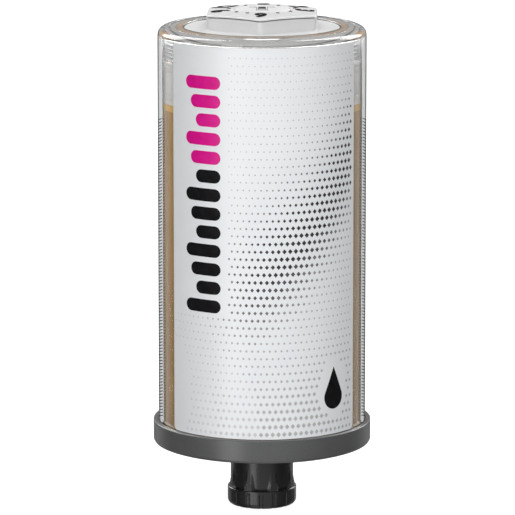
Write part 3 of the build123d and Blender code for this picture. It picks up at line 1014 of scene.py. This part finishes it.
class Print:
    """Closed ink patches on the label, gathered into one mesh."""

    def __init__(self, name, mats):
        self.name, self.mats, self.parts = name, mats, []
        self.low = INK0

    def patch(self, outline, mat):
        """outline: (u, v) in mm on the unrolled label, u from azimuth 0 towards +X, v = z."""
        n = len(outline)
        top = [polar(deg(u / LABEL_R), INK1, v) for u, v in outline]
        bot = [polar(deg(u / LABEL_R), INK0, v) for u, v in outline]
        cu = sum(u for u, v in outline) / n
        cv = sum(v for u, v in outline) / n
        verts = top + bot + [polar(deg(cu / LABEL_R), INK1, cv), polar(deg(cu / LABEL_R), INK0, cv)]
        ct, cb = 2 * n, 2 * n + 1
        faces = []
        for i in range(n):
            k = (i + 1) % n
            faces.append((ct, i, k))
            faces.append((cb, n + k, n + i))
            faces.append((i, n + i, n + k, k))
        self.parts.append((verts, faces, mat))

    def dot(self, u, v, r, mat):
        n = 8 if r < 0.2 else 12 if r < 0.42 else 16
        self.patch([(u + r * cos(TAU * i / n), v + r * sin(TAU * i / n)) for i in range(n)], mat)

    def pill(self, u0, u1, v, half, mat):
        """A bar with round ends, cut in strips so that it follows the curve."""
        r = half
        pts_t, pts_b = [], []
        us = []
        for i in range(7):
            a = pi / 2 * i / 6
            us.append((u0 + r - r * cos(a), r * sin(a)))
        m = max(2, int((u1 - u0 - 2 * r) / 1.0))
        for i in range(1, m):
            us.append((u0 + r + (u1 - u0 - 2 * r) * i / m, r))
        for i in range(7):
            a = pi / 2 * (6 - i) / 6
            us.append((u1 - r + r * cos(a), r * sin(a)))
        self.strip([(u, v + h, v - h) for u, h in us], mat)

    def strip(self, cols, mat):
        """cols: (u, top v, bottom v)."""
        verts, faces = [], []
        for u, t, b in cols:
            az = deg(u / LABEL_R)
            verts += [polar(az, INK1, t), polar(az, INK1, b), polar(az, self.low, t), polar(az, self.low, b)]
        n = len(cols)
        for i in range(n - 1):
            a, b = i * 4, (i + 1) * 4
            faces += [(a, a + 1, b + 1, b), (a + 2, b + 2, b + 3, a + 3), (a, b, b + 2, a + 2), (a + 1, a + 3, b + 3, b + 1)]
        faces += [(0, 2, 3, 1)]
        e = (n - 1) * 4
        faces += [(e, e + 1, e + 3, e + 2)]
        self.parts.append((verts, faces, mat))

    def make(self, body, slot):
        ob = joined(self.name, self.parts, 30)
        bm = bmesh.new()
        bm.from_mesh(ob.data)
        bmesh.ops.remove_doubles(bm, verts=bm.verts, dist=1e-9)
        bmesh.ops.recalc_face_normals(bm, faces=bm.faces)
        bm.to_mesh(ob.data)
        bm.free()
        ob.data.polygons.foreach_set("use_smooth", [False] * len(ob.data.polygons))
        assign(ob, *self.mats)
        return place(ob, body, slot)


mats = [M_INK, M_MAGENTA, *M_INK_G, M_MARK]


def drop_shape(sheet, cu, cv, dr, tip, mat):
    """A plain drop standing on its round end, laid down in narrow upright strips."""
    th = math.acos(dr / tip)  # where the straight flanks leave the circle
    ux = dr * sin(th)
    cols = []
    n = 22
    for i in range(n + 1):
        x = -dr * cos(pi * i / n)
        low = cv - math.sqrt(max(dr * dr - x * x, 0.0))
        if abs(x) <= ux:
            high = cv + tip - (tip - dr * cos(th)) * abs(x) / ux
        else:
            high = cv + math.sqrt(max(dr * dr - x * x, 0.0))
        cols.append((cu + x, high + 0.01, low - 0.01))
    sheet.strip(cols, mat)


def lozenge(sheet, u, v, a, b, mat):
    sheet.patch([(u + a, v), (u, v + b), (u - a, v), (u, v - b)], mat)


def hline(sheet, u0, u1, v, w, mat):
    n = max(1, int((u1 - u0) / 1.1))
    sheet.strip([(u0 + (u1 - u0) * i / n, v + w / 2, v - w / 2) for i in range(n + 1)], mat)


def vline(sheet, u, v0, v1, w, mat):
    sheet.strip([(u - w / 2, v1, v0), (u + w / 2, v1, v0)], mat)


art = Print("front_label_print", mats)
# level scale: a ladder of rounded bars, magenta over black
u_right, v0, step_v = -10.4, 54.8, 4.6
for i in range(13):
    v = v0 + i * step_v
    length = (10.2, 7.0, 8.6)[i % 3]
    art.pill(u_right - length, u_right, v, 1.6, 1 if i >= 8 else 0)
# a field of small lozenges on a staggered grid, swelling and darkening in slanted bands
U0, U1 = rad(F0) * LABEL_R + 1.0, rad(F1) * LABEL_R - 1.0
pu, pv = 1.44, 1.9


def print_size(x, s):
    """Half width of a lozenge; x runs from 0 at the left to 1, s from 0 at the foot to 1."""
    swell = 0.5 + 0.5 * cos(TAU * (1.15 * s - 0.5 * x * x + 0.18))
    band = math.exp(-(((s - 0.30 - 0.42 * x * x) / 0.15) ** 2))
    return 0.20 + 0.06 * (1 - s) + 0.36 * band * sm((x - 0.12) / 0.55) + 0.32 * swell * (1 - sm((s - 0.02) / 0.3))


def print_dark(x, s):
    """How heavy the ink is, from 0 to 1."""
    ridge = math.exp(-(((s - 0.36 - 0.40 * x * x) / 0.16) ** 2))
    return (0.30 + 0.70 * ridge) * (0.12 + 0.88 * sm((x - 0.04) / 0.5)) * (1 - 0.25 * sm((s - 0.7) / 0.3))


row_i = 0
v = LABEL_LOW + 1.2
while v < LABEL_HIGH - 1.2:
    u = U0 + (pu / 2 if row_i % 2 else 0)
    s01 = (v - LABEL_LOW) / (LABEL_HIGH - LABEL_LOW)
    while u < U1:
        x01 = (u - U0) / (U1 - U0)
        keep = u < u_right + 1.6 and v > v0 - 3.0
        near_drop = ((u - 19.4) / 4.6) ** 2 + ((v - 33.6) / 7.4) ** 2 < 1
        a = print_size(x01, s01)
        d = print_dark(x01, s01)
        if not keep and not near_drop and not (s01 > 0.55 and x01 < 0.3) and a * d > 0.02:
            lozenge(art, u, v, a, a * 1.12, 2 + min(6, int((1 - d) * 7.0)))
        u += pu
    v += pv
    row_i += 1
# a plain drop: what the cartridge holds
drop_shape(art, 19.4, 31.4, 3.0, 7.6, 0)
art.make("cartridge", "front_print")

back = Print("rear_label_print", mats)
# fine slanting graduations along both edges, beside the sight strips; they show through the clear wall too
back.low = BODY_R - 0.018


def slant(sheet, u0, u1, va, vb, w, mat):
    """A thin stroke from (u0, va) to (u1, vb)."""
    n = max(1, int(abs(u1 - u0) / 1.1))
    cols = [(u0 + (u1 - u0) * i / n, va + (vb - va) * i / n) for i in range(n + 1)]
    if u1 < u0:
        cols.reverse()
    sheet.strip([(u, v + w / 2, v - w / 2) for u, v in cols], mat)


for edge_az, side in ((B0, 1), (B1, -1)):
    u_e = rad(edge_az) * LABEL_R
    i = 0
    v = LABEL_LOW + 2.0
    while v < 99.6:
        ln = 5.6 if i % 10 == 0 else 4.9 if i % 5 == 0 else 4.2
        a, b = u_e + side * 0.35, u_e + side * (0.35 + ln)
        slant(back, a, b, v, v - 0.25 * ln, 0.21, 9)
        v += 0.78
        i += 1
back.low = INK0
# a plain table for notes: frame, rules and tick boxes, with nothing written in it
uc = pi * LABEL_R
t0, t1, z0, z1 = uc - 19.0, uc + 19.0, 47.0, 101.0
for vv in (z0, z1):
    hline(back, t0, t1, vv, 0.34, 0)
for uu in (t0, t1):
    vline(back, uu, z0, z1, 0.34, 0)
for i in range(1, 9):
    hline(back, t0, t1, z0 + (z1 - z0) * i / 9, 0.16, 3)
for uu in (t0 + 7.0, t0 + 26.0):
    vline(back, uu, z0, z1, 0.16, 3)
for i in range(9):
    vm = z0 + (z1 - z0) * (i + 0.5) / 9
    for du in (-1.3, 1.3):
        vline(back, t0 + 3.5 + du, vm - 1.3, vm + 1.3, 0.2, 0)
    for dv in (-1.3, 1.3):
        hline(back, t0 + 3.5 - 1.3, t0 + 3.5 + 1.3, vm + dv, 0.2, 0)
# a broad bar over it and a row of lozenges under it
hline(back, t0, t1, 106.5, 3.4, 1)
for i in range(15):
    lozenge(back, t0 + 1.6 + (t1 - t0 - 3.2) * i / 14, 41.0, 0.48, 0.62, 2 + abs(i - 7) // 2)
drop_shape(back, uc, 30.4, 2.6, 6.6, 0)
back.make("cartridge", "rear_print")

# =====================================================================================
# Setting dial and the marks round it
# =====================================================================================
dm = Mat("dial_face", (0.60, 0.60, 0.60), 0.4, spec=0.5)
big = dm.noise(90, 3)
fine = dm.noise(1500, 2)
body_c = dm.ramp(big, [(0.3, (0.57, 0.57, 0.57)), (0.7, (0.62, 0.62, 0.62))])
cx, cy, cz = dm.xyz()
mm_x = dm.math("MULTIPLY", dm.math("ABSOLUTE", cx), 1000.0)
mm_y = dm.math("MULTIPLY", cy, 1000.0)
mm_z = dm.math("MULTIPLY", cz, 1000.0)


def band(sock, lo, hi):
    """1 between lo and hi."""
    return dm.math("MULTIPLY", dm.math("GREATER_THAN", sock, lo), dm.math("LESS_THAN", sock, hi))


# painted shade: the slot's lip is painted dark and the arrow's outline grey, standing in for the shade along the edges
# of the slot and the arrow
slot_d = dm.math("MAXIMUM", dm.math("SUBTRACT", mm_x, 0.75), dm.math("SUBTRACT", dm.math("ABSOLUTE", mm_y), 2.6))
slot_lip_painted_shade = dm.math("MULTIPLY", band(slot_d, -0.05, 0.26), dm.math("GREATER_THAN", mm_z, 124.9))
wing_painted_shade = dm.math("MULTIPLY", band(mm_y, 3.05, 3.3), band(mm_x, 1.25, 3.2))
slant = dm.math("DIVIDE", dm.math("MULTIPLY_ADD", mm_x, 2.8, dm.math("MULTIPLY", dm.math("SUBTRACT", mm_y, 6.1), 3.1)), 4.177)
flank_painted_shade = dm.math("MULTIPLY", band(slant, 0.0, 0.2), dm.math("GREATER_THAN", mm_y, 3.2))
stem_painted_shade = dm.math("MULTIPLY", band(mm_x, 1.25, 1.43), band(mm_y, -3.2, 3.3))
outline = dm.math("MINIMUM", dm.math("ADD", dm.math("ADD", wing_painted_shade, flank_painted_shade), stem_painted_shade), 1.0)
face_with_painted_shade = dm.mix(outline, body_c, (0.06, 0.06, 0.06))
dm.color(dm.mix(slot_lip_painted_shade, face_with_painted_shade, (0.08, 0.08, 0.08)))
dm.rough(dm.remap(big, 0.3, 0.7, 0.36, 0.46))
dm.bump((big, 0.05, 0.12), (fine, 0.006, 0.35))
assign(nodes["setting_dial"], dm.m)


def glyph(text, size, x, y, turn, z_of, height=0.11, mat=None):
    cu = bpy.data.curves.new("g", "FONT")
    cu.body = text
    cu.size = size
    cu.align_x = "CENTER"
    cu.align_y = "CENTER"
    cu.resolution_u = 6
    cu.offset = 0.19
    ob = bpy.data.objects.new("g", cu)
    scene.collection.objects.link(ob)
    dg = bpy.context.evaluated_depsgraph_get()
    me = bpy.data.meshes.new_from_object(ob.evaluated_get(dg))
    bpy.data.objects.remove(ob)
    bm = bmesh.new()
    bm.from_mesh(me)
    bmesh.ops.remove_doubles(bm, verts=bm.verts, dist=1e-5)
    r = bmesh.ops.extrude_face_region(bm, geom=list(bm.faces))
    for vtx in [g for g in r["geom"] if isinstance(g, bmesh.types.BMVert)]:
        vtx.co.z = 1.0
    cx = (max(v.co.x for v in bm.verts) + min(v.co.x for v in bm.verts)) / 2
    cy = (max(v.co.y for v in bm.verts) + min(v.co.y for v in bm.verts)) / 2
    ct, st = cos(rad(turn)), sin(rad(turn))
    for vtx in bm.verts:
        px, py = vtx.co.x - cx, vtx.co.y - cy
        qx, qy = x + px * ct - py * st, y + px * st + py * ct
        up = vtx.co.z > 0.5
        vtx.co = Vector((qx, qy, z_of(math.hypot(qx, qy)) + (height if up else -0.02)))
    bmesh.ops.recalc_face_normals(bm, faces=bm.faces)
    verts = [tuple(v.co) for v in bm.verts]
    faces = [tuple(v.index for v in f.verts) for f in bm.faces]
    bm.free()
    return verts, faces, 0


parts = []
for text, az, r in (("0", 178, 11.2), ("2", 121, 11.0), ("3", 84, 10.6), ("6", -2, 10.35), ("9", -76, 10.6), ("12", -122, 10.9)):
    x, y = r * cos(rad(az - 90)), r * sin(rad(az - 90))
    parts.append(glyph(text, 6.3, x, y, deg(math.atan2(y, x)) - 90, dome_z))
for az in (-50, -26, 28, 59, 102, 150, -150, -99):
    a = rad(az - 90)
    x, y = 8.2 * cos(a), 8.2 * sin(a)
    n = 20
    vs, fs = [], []
    for i in range(n):
        px, py = x + 0.46 * cos(TAU * i / n), y + 0.46 * sin(TAU * i / n)
        zz = dome_z(math.hypot(px, py))
        vs += [(px, py, zz + 0.09), (px, py, zz - 0.02)]
    for i in range(n):
        j = (i + 1) % n
        fs.append((2 * i, 2 * i + 1, 2 * j + 1, 2 * j))
    fs.append(tuple(2 * i for i in range(n)))
    fs.append(tuple(2 * i + 1 for i in reversed(range(n))))
    parts.append((vs, fs, 0))
marks = joined("dial_marks", parts, 30)
bm = bmesh.new()
bm.from_mesh(marks.data)
bmesh.ops.recalc_face_normals(bm, faces=bm.faces)
bm.to_mesh(marks.data)
bm.free()
place(assign(marks, M_MARK), "cartridge", "white_plastic")

# =====================================================================================
# Stage, light, camera
# =====================================================================================
FLOOR_Z = -0.15
me = bpy.data.meshes.new("floor")
S = 6.0
me.from_pydata([(-S, -S, FLOOR_Z * MM), (S, -S, FLOOR_Z * MM), (S, S, FLOOR_Z * MM), (-S, S, FLOOR_Z * MM)], [], [(0, 1, 2, 3)])
floor = bpy.data.objects.new("floor", me)
scene.collection.objects.link(floor)
fm = Mat("floor_white", (0.30, 0.30, 0.30), 0.9, spec=0.0)
fm.set("Emission Color", (1, 1, 1, 1))
fm.set("Emission Strength", 0.93)
# seen from beneath, the floor is open
geo = fm.node("ShaderNodeNewGeometry")
open_ = fm.node("ShaderNodeBsdfTransparent")
side = fm.node("ShaderNodeMixShader")
fm.link(geo.outputs["Backfacing"], side.inputs[0])
fm.link(fm.p.outputs[0], side.inputs[1])
fm.link(open_.outputs[0], side.inputs[2])
fm.link(side.outputs[0], fm.out.inputs["Surface"])
assign(floor, fm.m)
# the floor is only a backdrop: it neither mirrors in the part nor blocks the low lights
floor.visible_glossy = False
floor.visible_transmission = False
floor.visible_diffuse = False
floor.visible_shadow = False


def area(name, azimuth, height, dist, target, size, size_y, power, color=(1, 1, 1)):
    """A soft box. Azimuth is from -Y towards +X, in degrees; the rest is in metres."""
    li = bpy.data.lights.new(name, "AREA")
    li.shape = "RECTANGLE"
    li.size, li.size_y = size, size_y
    li.energy = power
    li.color = color
    ob = bpy.data.objects.new(name, li)
    scene.collection.objects.link(ob)
    a = rad(azimuth - 90)
    ob.location = (dist * cos(a), dist * sin(a), height)
    ob.rotation_euler = (Vector(target) - Vector(ob.location)).to_track_quat("-Z", "Y").to_euler()
    return ob


def power_for(radiance, w, h):
    """Watts that give a one-sided area light this radiance."""
    return radiance * pi * w * h


key = area("key", -33, 0.10, 1.3, (0, 0, 0.08), 0.52, 1.5, power_for(2.6, 0.52, 1.5))
key.visible_diffuse = False
top = area("top", 0, 1.3, 0.05, (0, 0, 0.1), 1.5, 1.5, power_for(3.0, 1.5, 1.5))
top.visible_glossy = False
gloss = area("top_gloss", 0, 1.3, 0.05, (0, 0, 0.1), 1.5, 1.5, power_for(1.7, 1.5, 1.5))
gloss.visible_diffuse = False
fill = area("fill", -2, 0.32, 1.4, (0, 0, 0.07), 1.0, 0.8, power_for(6.25, 1.0, 0.8))
fill.visible_glossy = False
fill.visible_transmission = False
under = area("under", 0, -1.1, 0.25, (0, 0, 0.0), 1.2, 1.2, power_for(0.6, 1.2, 1.2))
under.visible_transmission = False
for side_az in (-140, 140):
    rear_box = area("rear_%d" % side_az, side_az, 0.35, 1.4, (0, 0, 0.07), 0.6, 1.2, power_for(5.1, 0.6, 1.2))
    rear_box.visible_glossy = False
    rear_box.visible_transmission = False

STRIP_L, AMBIENT = 10.0, 0.25
world = bpy.data.worlds.new("studio")
scene.world = world
world.use_nodes = True
world.cycles.sampling_method = "NONE"
wn = world.node_tree
wn.nodes.clear()


def wnode(kind, **props):
    n = wn.nodes.new(kind)
    for k, v in props.items():
        setattr(n, k, v)
    return n


def wmath(op, a, b=None, c=None):
    n = wnode("ShaderNodeMath", operation=op)
    for i, v in enumerate((a, b, c)):
        if v is None:
            continue
        if isinstance(v, (int, float)):
            n.inputs[i].default_value = v
        else:
            wn.links.new(v, n.inputs[i])
    return n.outputs[0]


def wstep(v, a, b, c, d):
    n = wnode("ShaderNodeMapRange", interpolation_type="SMOOTHSTEP")
    for k, val in zip(("From Min", "From Max", "To Min", "To Max"), (a, b, c, d)):
        n.inputs[k].default_value = val
    wn.links.new(v, n.inputs["Value"])
    return n.outputs[0]


tcw = wnode("ShaderNodeTexCoord")
sx = wnode("ShaderNodeSeparateXYZ")
wn.links.new(tcw.outputs["Generated"], sx.inputs[0])
azi = wmath("MULTIPLY", wmath("ARCTAN2", sx.outputs[0], wmath("MULTIPLY", sx.outputs[1], -1.0)), 180 / pi)


def panel(centre, half, soft, level):
    """A soft-edged bright panel of the studio at this azimuth."""
    d = wmath("ABSOLUTE", wmath("SUBTRACT", azi, centre))
    d = wmath("MINIMUM", d, wmath("SUBTRACT", 360.0, d))
    return wstep(d, half, half + soft, level, 0.0)


studio = 0.16
for args in ((-4, 22, 55, 0.85), (141, 6, 18, 0.45), (-141, 6, 18, 0.45)):
    studio = wmath("ADD", studio, panel(*args))
back = wmath("MULTIPLY", panel(180, 50, 25, 0.32), wstep(sx.outputs[2], -0.02, 0.06, 0.0, 1.0))
studio = wmath("ADD", studio, back)
studio = wmath("MULTIPLY", studio, wstep(sx.outputs[2], 0.55, 0.9, 1.0, 0.25))
studio = wmath("MULTIPLY", studio, wstep(sx.outputs[2], -0.85, -0.45, 0.45, 1.0))
lpw = wnode("ShaderNodeLightPath")
# two tall strip boxes stand behind the part on either side; only mirrors and clear plastic see them
strips = wmath("ADD", panel(128, 13, 7, STRIP_L), panel(-128, 13, 7, STRIP_L))
strips = wmath("MULTIPLY", strips, wstep(sx.outputs[2], 0.06, 0.16, 0.0, 1.0))
strips = wmath("MULTIPLY", strips, wstep(sx.outputs[2], 0.90, 0.97, 1.0, 0.0))
studio = wmath("MULTIPLY", studio, wmath("SUBTRACT", 1.0, wmath("MULTIPLY", lpw.outputs["Is Diffuse Ray"], 1.0 - AMBIENT)))
studio = wmath("ADD", studio, wmath("MULTIPLY", strips, wmath("SUBTRACT", 1.0, lpw.outputs["Is Diffuse Ray"])))
bg_studio = wnode("ShaderNodeBackground")
wn.links.new(studio, bg_studio.inputs[1])
bg_white = wnode("ShaderNodeBackground")
bg_white.inputs[1].default_value = 1.0
mxw = wnode("ShaderNodeMixShader")
wn.links.new(lpw.outputs["Is Camera Ray"], mxw.inputs[0])
wn.links.new(bg_studio.outputs[0], mxw.inputs[1])
wn.links.new(bg_white.outputs[0], mxw.inputs[2])
ow = wnode("ShaderNodeOutputWorld")
wn.links.new(mxw.outputs[0], ow.inputs[0])

cam_data = bpy.data.cameras.new("camera")
cam = bpy.data.objects.new("camera", cam_data)
scene.collection.objects.link(cam)
cam_data.sensor_width = 36
cam_data.lens = 4256 / 515 * 36
cam_data.clip_start, cam_data.clip_end = 0.05, 20
loc = Vector((-1.12, -1043.0, 261.4)) * MM
aim = Vector((-1.12, 0.0, 62.7)) * MM
cam.location = loc
cam.rotation_euler = (aim - loc).to_track_quat("-Z", "Y").to_euler()
scene.camera = cam
scene.view_settings.view_transform = "Standard"
scene.view_settings.look = "None"
scene.cycles.max_bounces = 16
scene.cycles.transmission_bounces = 12
scene.cycles.glossy_bounces = 6
scene.cycles.transparent_max_bounces = 12
